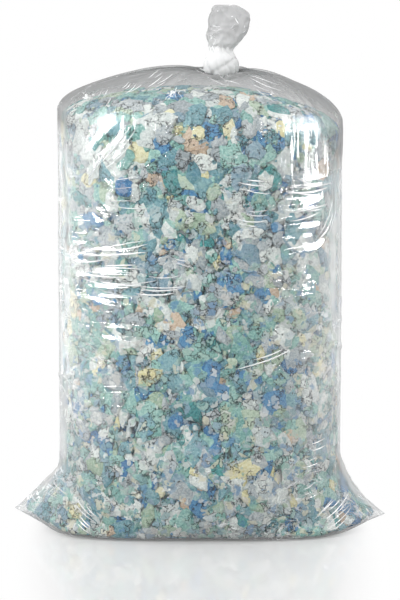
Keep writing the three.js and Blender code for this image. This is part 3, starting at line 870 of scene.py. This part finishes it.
def foamCells():  # shared by the foams: shreds of other foam, dark specks that are partly pores and partly painted shadow between crumbs, painted shade along crevices, and an open-cell surface
    outputs = {"Shred": "NodeSocketColor"}
    outputs.update({name: "NodeSocketFloat" for name in ("Cover", "Dark", "Mottle", "Height")})
    use = foam["cells"]
    scales = {"Shred Scale": use["shredScale"], "Speck Scale": use["speckScale"]}
    group = newGroup("foamCells", scales, outputs)
    inputs = addNode(group, "NodeGroupInput").outputs
    place = addNode(group, "ShaderNodeTexCoord").outputs["Object"]

    def cloud(key):
        scale, detail = use[key]
        feeds = {"Vector": place, "Scale": scale, "Detail": detail}
        return addNode(group, "ShaderNodeTexNoise", feeds).outputs

    def voronoi(where, scale, **values):
        return addNode(group, "ShaderNodeTexVoronoi", {"Vector": where, "Scale": scale}, **values).outputs

    def step(value, key):
        return addStep(group, value, *use[key])

    def times(first, second):
        return addMath(group, "MULTIPLY", first, second)

    # torn edges: the pattern's place is shaken by fine noise
    shaken = addVector(group, "MULTIPLY_ADD", {0: cloud("tearCloud")["Color"], 1: use["tear"], 2: place})[0]
    shreds = voronoi(shaken, inputs["Shred Scale"])["Color"]
    edges = voronoi(shaken, inputs["Shred Scale"], feature="DISTANCE_TO_EDGE")["Distance"]
    lots = addNode(group, "ShaderNodeSeparateColor", {0: shreds}).outputs
    tint = addNode(group, "ShaderNodeValToRGB", {0: lots["Red"]})
    ramp = tint.color_ramp
    ramp.interpolation = "CONSTANT"
    ramp.elements.remove(ramp.elements[1])
    for number, colour in enumerate(foam["shreds"]):
        stop = ramp.elements.new(number / len(foam["shreds"])) if number else ramp.elements[0]
        stop.color = (*screenColour(colour), 1)
    some = times(step(lots["Green"], "shredPick"), step(edges, "shredEdge"))
    height = addNode(group, "ShaderNodeSeparateXYZ", {0: place}).outputs["Z"]
    lower = step(height, "cleanTop")  # the top chips are cleaner
    crowd = step(cloud("crowdCloud")[0], "crowdPick")  # where the painted crevice shade and the specks gather
    creviceShade = times(step(edges, "creviceShade"), crowd)
    dots = voronoi(place, inputs["Speck Scale"])
    picks = addNode(group, "ShaderNodeSeparateColor", {0: dots["Color"]}).outputs["Red"]
    few = times(step(dots["Distance"], "speck"), step(picks, "speckPick"))
    dark = addMath(group, "MAXIMUM", times(few, crowd), creviceShade)
    mottle = cloud("mottleCloud")[0]
    relief = addMath(group, "MULTIPLY_ADD", dark, use["darkDepth"], mottle)
    addNode(group, "NodeGroupOutput", {
        "Shred": tint.outputs[0], "Cover": times(some, lower), "Dark": dark,
        "Mottle": mottle, "Height": relief,
    })
    return group


def foamMaterial(name, pale, deep, cells):
    material, tree, shader = newMaterial(name, {"Roughness": 0.95, "Specular IOR Level": 0.12})
    texture = addNode(tree, "ShaderNodeGroup", node_tree=cells).outputs
    tone = addNode(tree, "ShaderNodeAttribute", attribute_name="tone").outputs["Fac"]
    mottled = addMath(tree, "MULTIPLY_ADD", texture["Mottle"], *foam["mottleShare"])
    share = addMath(tree, "MULTIPLY_ADD", tone, foam["toneShare"], mottled)
    colours = addMix(tree, share, (*pale, 1), (*deep, 1))
    cover = addMath(tree, "MULTIPLY", texture["Cover"], foam["shredCover"])
    shredded = addMix(tree, cover, colours, texture["Shred"])
    # darkened by painted shade along crevices and by specks that are partly pores and partly painted shadow
    shadedAndPitted = addMix(tree, texture["Dark"], shredded, foam["dark"], blend_type="MULTIPLY")
    bump = addNode(tree, "ShaderNodeBump", {"Strength": 0.8, "Distance": 0.003, "Height": texture["Height"]})
    feed(tree, shader, {"Base Color": shadedAndPitted, "Normal": bump.outputs[0]})
    return material


def socketName(tree, name):
    return next(s.identifier for s in tree.interface.items_tree if s.name == name and s.in_out == "INPUT")


chipShapes = tornShapes("chip", foam["chipRadius"], 2, 5)
crumbShapes = tornShapes("crumb", foam["crumbRadius"], 1, 3)
scatter = foamTree(chipShapes, crumbShapes)
cells = foamCells()
foamPieces = []
used = 0.0
for name, part, pale, deep in foam["families"]:
    holder = bpy.data.objects.new(name + "Bed", chipBed.data)
    scene.collection.objects.link(holder)
    nodes = holder.modifiers.new("scatter", "NODES")
    nodes.node_group = scatter
    spare = foam["spare"] if name == foam["families"][-1][0] else 0.0
    nodes[socketName(scatter, "From")] = used
    nodes[socketName(scatter, "To")] = used + part + spare
    nodes[socketName(scatter, "Finish")] = foamMaterial(name, screenColour(pale), screenColour(deep), cells)
    used += part
    graph = bpy.context.evaluated_depsgraph_get()
    mesh = bpy.data.meshes.new_from_object(holder.evaluated_get(graph), depsgraph=graph)
    mesh.name = name
    bpy.data.objects.remove(holder)
    spots = np.empty(len(mesh.vertices) * 3)
    mesh.vertices.foreach_get("co", spots)
    spots[2::3] = np.maximum(spots[2::3], foam["lowest"])  # nothing goes through the film of the foot
    mesh.vertices.foreach_set("co", spots)
    mesh.update()
    piece = bpy.data.objects.new(name, mesh)
    scene.collection.objects.link(piece)
    foamPieces.append(piece)
    print(name, len(mesh.polygons), "faces")
for shapes in (chipShapes, crumbShapes):
    for shape in list(shapes.objects):
        bpy.data.objects.remove(shape)
    bpy.data.collections.remove(shapes)
for form in (fillBed, chipBed):
    bpy.data.objects.remove(form)

# film finish: how far it hides face on and edge on, how shiny and pale it is, and the same where gathered;
# where gathered, the clear film's much darker grey is painted shade
finishes = {
    "clear_film": {
        "haze": 0.046, "edge": 0.8, "index": 2.6, "shine": 0.5, "rough": 0.09, "pale": 0.68, "relief": 0.0026,
        # where gathered, the clear film's dark grey is painted shade over the dome and shoulder corners
        "gathered": {"haze": 0.115, "rough": 0.46, "pale": 0.185, "shine": 0.08},
    },
    # the darker pale grey of the foot film is painted shade near the floor
    "foot_film": {
        "haze": 0.055, "edge": 0.7, "index": 1.5, "shine": 0.04, "rough": 0.3, "pale": 0.49, "relief": 0.002,
    },
    "gathered_film": {
        "haze": 0.8, "edge": 0.16, "index": 1.5, "shine": 0.03, "rough": 0.3, "pale": 0.64, "relief": 0.0016,
    },
    "tail_film": {
        "haze": 0.53, "edge": 0.2, "index": 1.5, "shine": 0.015, "rough": 0.24, "pale": 0.38,
        "relief": 0.0016,
        "gathered": {"haze": 0.27, "rough": 0.3, "pale": 0.58, "shine": 0.03},
    },
    # the paler colour and extra haze of the scuff lines are partly painted highlights
    "edgeTurn": 1.2, "scuffGlintHaze": 0.26, "scuffGlintPale": 0.92, "clear": (0.97, 0.975, 0.975, 1),
    "folds": {  # ridges have a stretch, a lean and a waviness, and the other pairs are smooth steps
        "upperFrom": (0.42, 0.54), "patches": ((7, 7, 9), 0, 0.0), "patchPick": (0.5, 0.64),
        "level": ((9, 9, 105), 0, 0.5), "upright": ((95, 60, 13), 14, 0.5), "scuffs": ((34, 34, 62), 35, 0.8),
        "scuffLine": (0.022, 0.004), "scuffPatches": ((11, 11, 14), 0, 0.0), "scuffPick": (0.53, 0.62),
    },
    # the white of the crease slivers is partly painted highlight
    "creaseHighlight": {"Base Color": (0.93, 0.935, 0.94, 1), "Roughness": 0.22},
}


def filmFolds():  # shared by the films: fine ridges, upright near the top and level below, and pale scuff lines that are partly scuffing and partly painted highlights
    outputs = {name: "NodeSocketFloat" for name in ("Height", "Scuff")}
    use = finishes["folds"]
    group = newGroup("filmFolds", {"Fineness": 1.0}, outputs)
    inputs = addNode(group, "NodeGroupInput").outputs
    place = addNode(group, "ShaderNodeTexCoord").outputs["Object"]

    def ridges(key):
        stretch, lean, waviness = use[key]
        feeds = {"Vector": place, "Rotation": (0, math.radians(lean), 0), "Scale": stretch}
        turned = addNode(group, "ShaderNodeMapping", feeds).outputs[0]
        feeds = {"Vector": turned, "Scale": inputs["Fineness"], "Detail": 3.0, "Distortion": waviness}
        return addNode(group, "ShaderNodeTexNoise", feeds).outputs[0]

    def step(value, key):
        return addStep(group, value, *use[key])

    upper = step(addNode(group, "ShaderNodeSeparateXYZ", {0: place}).outputs["Z"], "upperFrom")
    some = step(ridges("patches"), "patchPick")
    level = addMath(group, "MULTIPLY", ridges("level"), some)  # level ridges come in patches
    height = addNode(group, "ShaderNodeMix", {0: upper, 2: level, 3: ridges("upright")}).outputs[0]
    # a scuff is a thin line where slow noise crosses its middle, in a few patches; its pale white is partly
    # painted highlight
    apart = addMath(group, "ABSOLUTE", addMath(group, "SUBTRACT", ridges("scuffs"), 0.5))
    patch = step(ridges("scuffPatches"), "scuffPick")
    scuff = addMath(group, "MULTIPLY", step(apart, "scuffLine"), patch)
    addNode(group, "NodeGroupOutput", {"Height": height, "Scuff": scuff})
    return group


def paleGrey(value):
    return (value, value * 1.005, value * 1.01, 1)


def mixedWithClear(tree, shader, cover):  # the finish shows as far as cover says, and the rest is see-through
    clear = addNode(tree, "ShaderNodeBsdfTransparent", {"Color": finishes["clear"]})
    mix = addShaderMix(tree, cover, clear.outputs[0], shader.outputs[0])
    feed(tree, tree.nodes["Material Output"], {"Surface": mix})


def filmMaterial(name, folds):
    finish = finishes[name]
    feeds = {"IOR": finish["index"], "Specular IOR Level": finish["shine"], "Roughness": finish["rough"]}
    material, tree, shader = newMaterial(name, feeds)
    texture = addNode(tree, "ShaderNodeGroup", node_tree=folds).outputs
    edge = addNode(tree, "ShaderNodeLayerWeight", {"Blend": 0.5}).outputs["Facing"]
    edge = addMath(tree, "POWER", edge, finishes["edgeTurn"])
    cover = addMath(tree, "MULTIPLY_ADD", edge, finish["edge"], finish["haze"])
    pale = paleGrey(finish["pale"])
    if "gathered" in finish:  # gathered film is duller and hides more; on the clear film its darker grey over the dome and shoulder corners is painted shade
        dense = finish["gathered"]
        gather = addNode(tree, "ShaderNodeAttribute", attribute_name="gather").outputs["Fac"]
        pale = addMix(tree, gather, pale, paleGrey(dense["pale"]))
        cover = addMath(tree, "MULTIPLY_ADD", gather, dense["haze"], cover)
        for key, socket in (("rough", "Roughness"), ("shine", "Specular IOR Level")):
            feeds = {"Value": gather, "To Min": finish[key], "To Max": dense[key]}
            feed(tree, shader, {socket: addNode(tree, "ShaderNodeMapRange", feeds).outputs[0]})
    # scuff lines are painted pale, partly scuffing and partly painted highlights
    scuffedAndGlinting = addMix(tree, texture["Scuff"], pale, paleGrey(finishes["scuffGlintPale"]))
    bump = addNode(tree, "ShaderNodeBump", {"Distance": finish["relief"], "Height": texture["Height"]})
    feed(tree, shader, {"Base Color": scuffedAndGlinting, "Normal": bump.outputs[0]})
    streaked = addMath(tree, "MULTIPLY_ADD", texture["Scuff"], finishes["scuffGlintHaze"], cover, use_clamp=True)
    mixedWithClear(tree, shader, streaked)
    return material


def creaseHighlightMaterial():  # white along the folds, partly the whitening of folded film and partly painted highlights
    material, tree, shader = newMaterial("creased_film", finishes["creaseHighlight"])
    # strength sets how far the white of each crease shows, partly painted highlight
    strength = addNode(tree, "ShaderNodeAttribute", attribute_name="strength")
    mixedWithClear(tree, shader, strength.outputs["Fac"])
    return material


folds = filmFolds()
filmBody.data.materials.append(filmMaterial("clear_film", folds))
filmBody.data.materials.append(filmMaterial("foot_film", folds))
filmKnot.data.materials.append(filmMaterial("gathered_film", folds))
filmTail.data.materials.append(filmMaterial("tail_film", folds))
filmCreaseHighlights.data.materials.append(creaseHighlightMaterial())
print("film finishes made")

# floor, light and backdrop
studio = {
    "floor": (0.62, 0.62, 0.62, 1), "floorReach": 8, "floorHeight": -0.0006, "shine": 0.42, "gloss": 0.03,
    "oval": (1.0, 0.26, 1.0), "fadeFrom": 0.17, "fadeTo": 0.26, "lift": 0.22,
    "ambient": 0.475, "walls": 0.54, "ceiling": 0.12, "wallTop": 0.18, "ceilingFrom": 0.6,
    "lampAim": (0, 0, 0.35),
    "lamps": [  # name, azimuth and elevation in degrees, distance, width, height, power, only a glint
        ("front", -30, 34, 2.4, 1.4, 1.4, 46, False),
        ("top", 0, 80, 2.4, 2.0, 2.0, 47, False),
        ("back", 165, 40, 2.4, 1.6, 1.4, 30, False),
        ("leftFill", -100, 20, 2.4, 1.2, 1.4, 9, False),
        ("rightFill", 75, 22, 2.4, 1.2, 1.4, 14, False),
        ("leftGlint", -54, 20, 1.9, 0.6, 1.1, 130, True),
        ("rightGlint", 74, 18, 1.9, 0.62, 1.2, 130, True),
        ("leftLongGlint", -62, 17, 1.9, 2.2, 0.22, 100, True),
        ("rightLongGlint", 66, 15, 1.9, 1.7, 0.2, 70, True),
        ("leftVeil", -86, 12, 1.2, 2.0, 1.2, 17.0, True),
        ("rightVeil", 88, 12, 1.2, 1.9, 1.2, 11.5, True),
        ("leftRim", -138, 8, 2.0, 1.4, 1.5, 3, True),
        ("rightRim", 138, 8, 2.0, 1.4, 1.5, 4, True),
    ],
}


def floorMaterial():  # pale and slightly shiny, fading to a white backdrop away from the object
    feeds = {"Base Color": studio["floor"], "Roughness": 0.9, "Specular IOR Level": 0.0}
    material, tree, matt = newMaterial("floor", feeds)
    camera = addNode(tree, "ShaderNodeLightPath").outputs["Is Camera Ray"]
    gloss = addNode(tree, "ShaderNodeBsdfGlossy", {"Roughness": studio["gloss"]})
    shine = addMath(tree, "MULTIPLY", camera, studio["shine"])  # only the camera sees the sheen
    sheen = addShaderMix(tree, shine, matt.outputs[0], gloss.outputs[0])
    place = addNode(tree, "ShaderNodeTexCoord").outputs["Object"]
    oval = addNode(tree, "ShaderNodeMapping", {"Vector": place, "Scale": studio["oval"]}).outputs[0]
    away = addVector(tree, "LENGTH", {0: oval})["Value"]
    fade = addStep(tree, away, studio["fadeFrom"], studio["fadeTo"], studio["lift"])
    white = addNode(tree, "ShaderNodeEmission")
    mix = addShaderMix(tree, addMath(tree, "MULTIPLY", camera, fade), sheen, white.outputs[0])
    feed(tree, tree.nodes["Material Output"], {"Surface": mix})
    return material


def studioWorld():  # white to the camera, a grey room with a dark ceiling in reflections, and soft light
    world = bpy.data.worlds.new("studio")
    world.use_nodes = True
    tree = world.node_tree
    sky = tree.nodes["Background"]
    feed(tree, sky, {"Color": (1, 1, 1, 1), "Strength": studio["ambient"]})
    direction = addNode(tree, "ShaderNodeTexCoord").outputs["Generated"]
    upward = addNode(tree, "ShaderNodeSeparateXYZ", {0: direction}).outputs["Z"]
    dim = addStep(tree, upward, studio["wallTop"], studio["ceilingFrom"], studio["walls"], studio["ceiling"])
    room = addNode(tree, "ShaderNodeBackground", {"Color": (1, 1, 1, 1), "Strength": dim})
    white = addNode(tree, "ShaderNodeBackground", {"Color": (1, 1, 1, 1)})
    rays = addNode(tree, "ShaderNodeLightPath").outputs
    mirrored = addShaderMix(tree, rays["Is Glossy Ray"], sky.outputs[0], room.outputs[0])
    seen = addMath(tree, "MAXIMUM", rays["Is Camera Ray"], rays["Is Transmission Ray"])
    whole = addShaderMix(tree, seen, mirrored, white.outputs[0])
    feed(tree, tree.nodes["World Output"], {"Surface": whole})
    return world


def softbox(name, azimuth, elevation, distance, width, height, power, glint):
    data = bpy.data.lights.new(name, "AREA")
    data.shape = "RECTANGLE"
    data.size = width
    data.size_y = height
    data.energy = power
    lamp = bpy.data.objects.new(name, data)
    scene.collection.objects.link(lamp)
    a = math.radians(azimuth)
    e = math.radians(elevation)
    place = Vector((math.sin(a) * math.cos(e), -math.cos(a) * math.cos(e), math.sin(e))) * distance
    lamp.location = Vector(studio["lampAim"]) + place
    lamp.rotation_euler = place.to_track_quat("Z", "Y").to_euler()
    lamp.visible_diffuse = not glint  # a glint shows only as a reflection in the film
    lamp.visible_glossy = glint
    lamp.visible_camera = False


corners = [(-1, -1), (1, -1), (1, 1), (-1, 1)]
points = [(studio["floorReach"] * x, studio["floorReach"] * y, studio["floorHeight"]) for x, y in corners]
floor = linkMesh("floor", points, [(0, 1, 2, 3)])
floor.data.materials.append(floorMaterial())
scene.world = studioWorld()
for lamp in studio["lamps"]:
    softbox(*lamp)
print("studio made")

# frame
for piece in (filmBody, filmKnot, filmTail, filmCreaseHighlights):
    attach(piece, "root")
    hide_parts("film_bag")
for piece in foamPieces:
    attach(piece, "root")
    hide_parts("shredded_foam")
